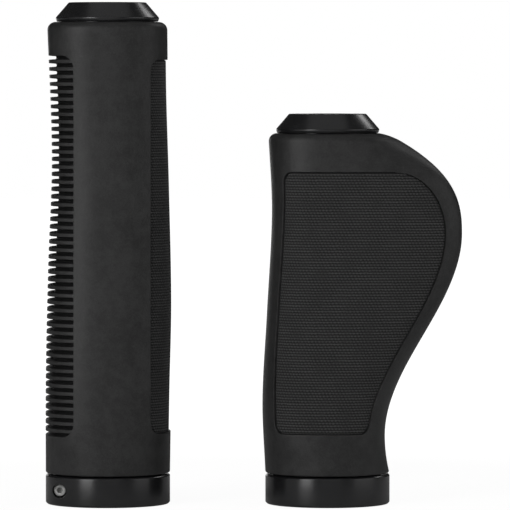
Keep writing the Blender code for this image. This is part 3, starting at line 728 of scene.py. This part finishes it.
RING_CHAMFER = 0.45 * MM
RING_EDGE = 0.12 * MM
SLIT_WIDTH = 1.8 * MM
KEY_WIDTH = 4.4 * MM
KEY_DEPTH = 2.2 * MM
KEY_THICKNESS = 2.6 * MM
KEY_HEADINGS = (180.0, 270.0, 0.0)
BOLT_HOLE_RADIUS = 1.2 * MM
COUNTERBORE_RADIUS = 1.95 * MM
BOLT_END_ROOM = 0.35 * MM
WASHER_SEAT_GAP = 0.2 * MM


def turned_mesh(name, profile, closed, steps=160):
    """A piece turned round Z from its (radius, height) profile, which starts and ends on the axis if
    it isn't closed. Its points are laid out in order, so that each run gives the same mesh."""
    shape = np.array(profile)
    ahead = np.roll(shape, -1, 0)
    if np.sum(shape[:, 0] * ahead[:, 1] - ahead[:, 0] * shape[:, 1]) < 0:
        shape = shape[::-1]
    angle = np.linspace(0.0, 2 * math.pi, steps, endpoint=False)
    circle = np.stack((np.cos(angle), np.sin(angle)), 1)
    rings = shape if closed else shape[1:-1]
    rows = [np.column_stack((radius * circle, np.full(steps, z))) for radius, z in rings]
    points = np.concatenate(rows).tolist()
    index = np.arange(len(points)).reshape(-1, steps)
    low, high = (index, np.roll(index, -1, 0)) if closed else (index[:-1], index[1:])
    quads = np.stack((low, np.roll(low, -1, 1), np.roll(high, -1, 1), high), -1).reshape(-1, 4)
    faces = quads.tolist()
    if not closed:
        start, end = len(points), len(points) + 1
        points += [(0.0, 0.0, float(shape[0][1])), (0.0, 0.0, float(shape[-1][1]))]
        first, last = index[0].tolist(), index[-1].tolist()
        for i in range(steps):
            j = (i + 1) % steps
            faces += [(start, first[j], first[i]), (end, last[i], last[j])]
    mesh = bpy.data.meshes.new(name)
    mesh.from_pydata(points, [], faces)
    return mesh


def rounded(corners, radius, steps=4):
    """A profile's corners: (x, y) is kept sharp, and (x, y, True) is eased by a small radius."""
    eased = []
    count = len(corners)
    for i, corner in enumerate(corners):
        here = Vector(corner[:2])
        if len(corner) < 3:
            eased.append(tuple(here))
            continue
        before = Vector(corners[i - 1][:2]) - here
        after = Vector(corners[(i + 1) % count][:2]) - here
        reach = min(radius, before.length / 2.2, after.length / 2.2)
        start, end = here + before.normalized() * reach, here + after.normalized() * reach
        for k in range(steps + 1):
            t = k / steps
            eased.append(tuple(start * (1 - t) ** 2 + here * 2 * t * (1 - t) + end * t * t))
    return eased


def box_mesh(name, low, high):
    mesh = bpy.data.meshes.new(name)
    form = bmesh.new()
    bmesh.ops.create_cube(form, size=1.0)
    low, high = Vector(low), Vector(high)
    for vert in form.verts:
        vert.co = (low + high) / 2 + vert.co * (high - low)
    form.to_mesh(mesh)
    form.free()
    return mesh


def hexagon_mesh(name, width, low, high):
    """A hexagonal bar along Z, width across its flats."""
    mesh = bpy.data.meshes.new(name)
    form = bmesh.new()
    radius = width / math.sqrt(3)
    sizes = {"radius1": radius, "radius2": radius, "depth": high - low}
    bmesh.ops.create_cone(form, cap_ends=True, segments=6, **sizes)
    bmesh.ops.translate(form, verts=form.verts, vec=(0.0, 0.0, (low + high) / 2))
    form.to_mesh(mesh)
    form.free()
    return mesh


def machined(mesh, cutters, joined=()):
    """The mesh with the cutters taken away and the other meshes joined on."""
    blank = bpy.data.objects.new("blank", mesh)
    bpy.context.scene.collection.objects.link(blank)
    tools = []
    for operation, tool_meshes in (("DIFFERENCE", cutters), ("UNION", joined)):
        for tool_mesh in tool_meshes:
            tool = bpy.data.objects.new("tool", tool_mesh)
            bpy.context.scene.collection.objects.link(tool)
            tools.append(tool)
            cut = blank.modifiers.new("cut", "BOOLEAN")
            cut.operation = operation
            cut.solver = "EXACT"
            cut.object = tool
    graph = bpy.context.evaluated_depsgraph_get()
    made = bpy.data.meshes.new_from_object(blank.evaluated_get(graph))
    for tool in tools:
        bpy.data.objects.remove(tool)
    bpy.data.objects.remove(blank)
    shade(made, 30)
    return made


def key_mesh(grip, heading, clearance):
    """A key of the sleeve, or with a clearance the notch for it in the ring."""
    low = grip.ring_height - KEY_DEPTH + SLEEVE_GAP - clearance
    high = grip.rubber_start + FLANGE_THICKNESS / 2
    half = KEY_WIDTH / 2 + clearance
    near = (BORE_RADIUS + SLEEVE_RADIUS) / 2 - 3 * clearance
    far = BORE_RADIUS + KEY_THICKNESS + clearance
    mesh = box_mesh("key", (near, -half, low), (far, half, high))
    mesh.transform(Matrix.Rotation(math.radians(heading), 4, "Z"))
    return mesh


def bolt_place(grip):
    """The bolt's own axes: Z out of the ring's front, from the middle of the slit."""
    low, high = grip.box("clamp_bolt")
    middle = (low + high) / 2
    return Matrix.Translation((0.0, middle.y, middle.z)) @ Matrix.Rotation(-math.pi / 2, 4, "Y")


def ring_mesh(grip):
    radius, height = grip.ring_radius, grip.ring_height
    outline = (
        (radius - RING_CHAMFER, height, True),
        (radius, height - RING_CHAMFER, True),
        (radius, RING_CHAMFER, True),
        (radius - RING_CHAMFER, 0.0, True),
        (BORE_RADIUS, 0.0, True),
        (BORE_RADIUS, height, True),
    )
    blank = turned_mesh("clamp_ring", rounded(outline, RING_EDGE), True, 192)
    low = (-SLIT_WIDTH / 2, BORE_RADIUS / 2, -height)
    slit = box_mesh("slit", low, (SLIT_WIDTH / 2, radius * 2, height * 2))
    washer = grip.box("clamp_washer")
    floor = -washer[1].x - WASHER_SEAT_GAP
    end = -grip.box("clamp_bolt")[1].x - BOLT_END_ROOM
    stepped = (
        (0.0, radius * 1.5),
        (COUNTERBORE_RADIUS, radius * 1.5),
        (COUNTERBORE_RADIUS, floor),
        (BOLT_HOLE_RADIUS, floor),
        (BOLT_HOLE_RADIUS, end),
        (0.0, end),
    )
    hole = turned_mesh("bolt_hole", stepped, False, 64)
    hole.transform(bolt_place(grip))
    notches = [key_mesh(grip, heading, SLEEVE_GAP) for heading in KEY_HEADINGS]
    return machined(blank, [slit, hole, *notches])


anodised = Finish("black_anodised_satin", Metallic=0.2, Specular_IOR_Level=0.8)
surface = anodised.place()
blast = anodised.noise(surface, 0.12 * MM, 2.0, 0.6)
smudge = anodised.noise(surface, 7.0 * MM, 3.0, 0.6)
black = anodised.mix(smudge.between(0.3, 0.7), (0.008, 0.008, 0.009), (0.012, 0.012, 0.013))
anodised.vary("Base Color", black)
anodised.vary("Roughness", 0.17 + 0.07 * smudge + 0.05 * blast)
anodised.relief(blast, 0.006 * MM)

for grip in grips:
    grip.fit("clamp_ring", ring_mesh(grip), anodised, "grip", "black_anodised")


# The clamp bolts and washers: small zinc-plated socket screws that cross the slit from the front,
# each with its head down in a counterbore on a thin washer.

BOLT_SOCKET_WIDTH = 1.5 * MM
BOLT_SOCKET_DEPTH = 1.2 * MM
BOLT_HEAD_EDGE = 0.3 * MM
BOLT_RADIUS = 1.0 * MM
THREAD_PITCH = 0.4 * MM


def threaded(radius, low, high, pitch):
    """A thread's profile up a shank, as rings a pitch apart."""
    crest = pitch * 0.3
    points = []
    count = int((high - low) / pitch)
    for i in range(count):
        z = low + i * pitch
        points += [(radius - crest, z), (radius, z + pitch * 0.45), (radius, z + pitch * 0.55)]
    points.append((radius - crest, low + count * pitch))
    return points


def screw_mesh(name, head, shank, seat, top, end, edge, socket, depth, pitch, steps):
    """A socket-head screw along Z, with its head's edge rounded and its thread cut up to the head."""
    thread = threaded(shank, end + shank * 0.35, seat - shank * 0.7, pitch)
    outline = [(0.0, end), (shank * 0.7, end), *thread, (shank, seat - shank * 0.5), (shank, seat)]
    outline += rounded([(shank, seat), (head, seat, True), (head, top, True), (0.0, top)], edge)[1:-1]
    outline.append((0.0, top))
    blank = turned_mesh(name, outline, False, steps)
    lead = ((0.0, top - depth * 0.1), (socket * 0.62, top + depth * 0.1), (0.0, top + depth))
    bore = turned_mesh("socket_lead", lead, False, 48)
    return machined(blank, [hexagon_mesh("socket", socket, top - depth, top + depth), bore])


def mark_socket_shade(mesh, width, top):
    """Marks the socket's walls and floor, where the zinc finish paints shade into the colour and makes
    the surface rougher.
    """
    inside = [vert.co.xy.length < width * 0.6 and vert.co.z < top - 0.1 * MM for vert in mesh.vertices]
    mark = mesh.attributes.new("socket_shade_mask", "FLOAT", "POINT")
    mark.data.foreach_set("value", np.array(inside, np.float32))


def bolt_mesh(grip):
    low, high = grip.box("clamp_bolt")
    seat = -grip.box("clamp_washer")[0].x + WASHER_SEAT_GAP
    head = (high.z - low.z) / 2
    sizes = (BOLT_HEAD_EDGE, BOLT_SOCKET_WIDTH, BOLT_SOCKET_DEPTH, THREAD_PITCH, 64)
    mesh = screw_mesh("clamp_bolt", head, BOLT_RADIUS, seat, -low.x, -high.x, *sizes)
    mark_socket_shade(mesh, BOLT_SOCKET_WIDTH, -low.x)
    return mesh


def washer_mesh(grip):
    low, high = grip.box("clamp_washer")
    outer = (high.z - low.z) / 2
    corners = (
        (outer, -low.x, True),
        (outer, -high.x, True),
        (BOLT_HOLE_RADIUS, -high.x, True),
        (BOLT_HOLE_RADIUS, -low.x, True),
    )
    mesh = turned_mesh("washer", rounded(corners, 0.08 * MM), True, 64)
    shade(mesh)
    return mesh


zinc = Finish("bright_zinc", Metallic=0.5)
surface = zinc.place()
stain = zinc.noise(surface, 1.2 * MM, 3.0, 0.6)
scratch = zinc.noise(surface, 0.09 * MM, 2.0)
# Painted shade: the base colour inside the bolt's hex socket is darkened from bright zinc to grey,
# where shade falls in it; the socket is made rougher too.
socket_shade = zinc.add("ShaderNodeAttribute", {"attribute_name": "socket_shade_mask"}, output="Fac")
bright = zinc.mix(stain.between(0.3, 0.7), (0.90, 0.90, 0.88), (0.78, 0.78, 0.76))
zinc.vary("Base Color", zinc.mix(socket_shade, bright, (0.45, 0.45, 0.44)))
zinc.vary("Roughness", 0.38 + 0.10 * stain + 0.2 * socket_shade)
zinc.relief(scratch, 0.003 * MM)

for grip in grips:
    place = bolt_place(grip)
    grip.fit("clamp_bolt", bolt_mesh(grip), zinc, "clamp_bolt", "bolt_steel", place)
    grip.fit("clamp_washer", washer_mesh(grip), zinc, "clamp_washer", "bolt_steel", place)


# The core sleeves and wing plates: glass-filled nylon. The sleeve slides on the bar and keys into
# the clamp ring, and the plate stiffens the palm wing from inside the rubber.

BEDDING_GAP = 0.03 * MM


def sleeve_mesh(grip):
    end = grip.box("core_sleeve")[1].z
    step = grip.rubber_start + FLANGE_THICKNESS
    start = grip.ring_height + BEDDING_GAP
    corners = (
        (SLEEVE_RADIUS, end, True),
        (SLEEVE_RADIUS, step),
        (FLANGE_RADIUS, step, True),
        (FLANGE_RADIUS, start, True),
        (BORE_RADIUS, start, True),
        (BORE_RADIUS, end, True),
    )
    blank = turned_mesh("core_sleeve", rounded(corners, 0.25 * MM), True, 144)
    return machined(blank, [], [key_mesh(grip, heading, 0.0) for heading in KEY_HEADINGS])


nylon = Finish("glass_filled_nylon", Roughness=0.5)
surface = nylon.place()
fibres = nylon.noise(surface, 0.35 * MM, 3.0, 0.7)
flow = nylon.noise(surface, 5.0 * MM, 2.0)
nylon.vary("Base Color", nylon.mix(fibres.between(0.45, 0.75), (0.012,) * 3, (0.022,) * 3))
nylon.vary("Roughness", 0.45 + 0.2 * flow)
nylon.relief(fibres, 0.01 * MM)

for grip in grips:
    grip.fit("core_sleeve", sleeve_mesh(grip), nylon, "grip", "sleeve_nylon")
    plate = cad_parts[f"{grip.name}_wing_core"]
    plate.data.materials.clear()
    plate.data.materials.append(nylon.material)


# The end caps: cone-shaped, turned from aluminium bar and anodised black like the rings, with fine
# turning marks on the cone and a pocket in the top for the plug's screw.

CAP_RIM = 1.0 * MM
CAP_TAPER = 3.6 * MM
CAP_EDGE = 0.28 * MM
CAP_UNDERCUT = 0.3 * MM
CAP_SEATING = 0.18 * MM
CAP_REGISTER = 0.5 * MM
CAP_REGISTER_WIDTH = 2.4 * MM
PLUG_BORE_RADIUS = 2.8 * MM
PLUG_HEAD_RADIUS = 4.25 * MM
PLUG_HEAD_HEIGHT = 2.6 * MM


def cap_mesh(grip):
    low, high = grip.box("end_cap")
    low.z -= CAP_SEATING
    base = high.x
    seat = grip.box("plug_screw")[1].z - PLUG_HEAD_HEIGHT - WASHER_SEAT_GAP
    pocket = PLUG_HEAD_RADIUS + SLEEVE_GAP
    corners = (
        (pocket, high.z, True),
        (base - CAP_TAPER, high.z, True),
        (base, low.z + CAP_RIM, True),
        (base - CAP_UNDERCUT, low.z, True),
        (SLEEVE_RADIUS, low.z),
        (SLEEVE_RADIUS, low.z - CAP_REGISTER, True),
        (SLEEVE_RADIUS - CAP_REGISTER_WIDTH, low.z - CAP_REGISTER, True),
        (SLEEVE_RADIUS - CAP_REGISTER_WIDTH, low.z),
        (PLUG_BORE_RADIUS, low.z, True),
        (PLUG_BORE_RADIUS, seat, True),
        (pocket, seat),
    )
    mesh = turned_mesh("end_cap", rounded(corners, CAP_EDGE, 5), True, 192)
    shade(mesh)
    return mesh


turned = Finish("black_anodised_turned", Metallic=0.2, Specular_IOR_Level=0.7)
surface = turned.place()
lathe = turned.add("ShaderNodeSeparateXYZ", inputs={0: surface}, output=2)
along_lathe = {"W": lathe / (0.09 * MM), "Detail": 2.0}
marks = turned.add("ShaderNodeTexNoise", {"noise_dimensions": "1D"}, along_lathe)
smudge = turned.noise(surface, 6.0 * MM, 3.0, 0.6)
black = turned.mix(smudge.between(0.3, 0.7), (0.016, 0.016, 0.017), (0.021, 0.021, 0.022))
turned.vary("Base Color", black)
turned.vary("Roughness", 0.19 + 0.07 * smudge + 0.06 * marks)
turned.relief(marks, 0.002 * MM)

for grip in grips:
    grip.fit("end_cap", cap_mesh(grip), turned, "end_cap", "black_anodised_cap")


# The plugs that hold the caps in the bar's end: a black steel socket screw draws a turned aluminium
# wedge up into a slotted nylon sleeve, which spreads and grips the bar from inside.

EXPANDER_LIP = 1.2 * MM
EXPANDER_SLOT = 2.0 * MM
EXPANDER_SOLID = 6.0 * MM
EXPANDER_RADIUS = 8.7 * MM
CONE_START = 8.0 * MM
CONE_SLOPE = 0.28
PLUG_SOCKET_WIDTH = 3.0 * MM
PLUG_SOCKET_DEPTH = 1.6 * MM
PLUG_SHANK_RADIUS = 2.5 * MM
WEDGE_BORE_RADIUS = 2.7 * MM
WEDGE_TAIL = 6.0 * MM
WEDGE_KEY_WIDTH = 1.4 * MM
PLUG_HEAD_EDGE = 0.4 * MM
PLUG_THREAD_PITCH = 0.8 * MM


def expander_mesh(grip):
    low, high = grip.box("plug_expander")
    mouth = PLUG_BORE_RADIUS + CONE_SLOPE * (high.z - low.z - CONE_START)
    corners = (
        (high.x, high.z, True),
        (high.x, high.z - EXPANDER_LIP, True),
        (EXPANDER_RADIUS, high.z - EXPANDER_LIP),
        (EXPANDER_RADIUS, low.z, True),
        (mouth, low.z, True),
        (PLUG_BORE_RADIUS, high.z - CONE_START),
        (PLUG_BORE_RADIUS, high.z, True),
    )
    blank = turned_mesh("plug_expander", rounded(corners, 0.3 * MM), True, 96)
    half, reach = EXPANDER_SLOT / 2, EXPANDER_RADIUS * 2
    top = high.z - EXPANDER_SOLID
    slots = [
        box_mesh("slot", (-x, -y, low.z - half), (x, y, top)) for x, y in ((reach, half), (half, reach))
    ]
    return machined(blank, slots)


def wedge_mesh(grip):
    low, high = grip.box("plug_wedge")
    mouth = low.z + WEDGE_TAIL
    depth = grip.length - mouth - CONE_START
    wide = PLUG_BORE_RADIUS + CONE_SLOPE * depth - SLEEVE_GAP
    narrow = PLUG_BORE_RADIUS + CONE_SLOPE * (grip.length - high.z - CONE_START) - SLEEVE_GAP
    corners = (
        (narrow, high.z, True),
        (wide, mouth),
        (wide, low.z, True),
        (WEDGE_BORE_RADIUS, low.z, True),
        (WEDGE_BORE_RADIUS, high.z, True),
    )
    blank = turned_mesh("plug_wedge", rounded(corners, 0.25 * MM), True, 96)
    half = WEDGE_KEY_WIDTH / 2
    near = (WEDGE_BORE_RADIUS + wide) / 2
    start, end = low.z + SLEEVE_GAP, mouth + WEDGE_TAIL / 2
    keys = []
    for side in (-1, 1):
        left, right = sorted((side * near, side * high.x))
        keys.append(box_mesh("wedge_key", (left, -half, start), (right, half, end)))
    return machined(blank, [], keys)


def plug_screw_mesh(grip):
    low, high = grip.box("plug_screw")
    seat = high.z - PLUG_HEAD_HEIGHT
    radii = (PLUG_HEAD_RADIUS, PLUG_SHANK_RADIUS)
    sizes = (PLUG_HEAD_EDGE, PLUG_SOCKET_WIDTH, PLUG_SOCKET_DEPTH, PLUG_THREAD_PITCH, 96)
    return screw_mesh("plug_screw", *radii, seat, high.z, low.z, *sizes)


oxide = Finish("black_oxide_steel", Metallic=1.0)
surface = oxide.place()
bloom = oxide.noise(surface, 1.2 * MM, 3.0, 0.6)
oxide.vary("Base Color", oxide.mix(bloom.between(0.3, 0.7), (0.12, 0.12, 0.122), (0.18, 0.18, 0.18)))
oxide.vary("Roughness", 0.32 + 0.18 * bloom)
oxide.relief(bloom, 0.004 * MM)

plug_nylon = Finish("plug_nylon")
surface = plug_nylon.place()
flow = plug_nylon.noise(surface, 2.5 * MM, 3.0)
plug_nylon.vary("Base Color", plug_nylon.mix(flow.between(0.3, 0.7), (0.018,) * 3, (0.028,) * 3))
plug_nylon.vary("Roughness", 0.42 + 0.2 * flow)
plug_nylon.relief(flow, 0.02 * MM)

bare = Finish("turned_bare_aluminium", Metallic=1.0)
surface = bare.place()
lathe = bare.add("ShaderNodeSeparateXYZ", inputs={0: surface}, output=2)
along_lathe = {"W": lathe / (0.12 * MM), "Detail": 2.0}
marks = bare.add("ShaderNodeTexNoise", {"noise_dimensions": "1D"}, along_lathe)
bare.vary("Base Color", bare.mix(marks, (0.60, 0.60, 0.61), (0.70, 0.70, 0.71)))
bare.vary("Roughness", 0.30 + 0.2 * marks)
bare.relief(marks, 0.01 * MM)

for grip in grips:
    grip.fit("plug_expander", expander_mesh(grip), plug_nylon, "end_cap", "plug_nylon")
    grip.fit("plug_wedge", wedge_mesh(grip), bare, "plug_wedge", "bare_aluminium")
    grip.fit("plug_screw", plug_screw_mesh(grip), oxide, "plug_screw", "black_steel")


# Brings the scene up to date with the finished pieces in place.

bpy.context.view_layer.update()
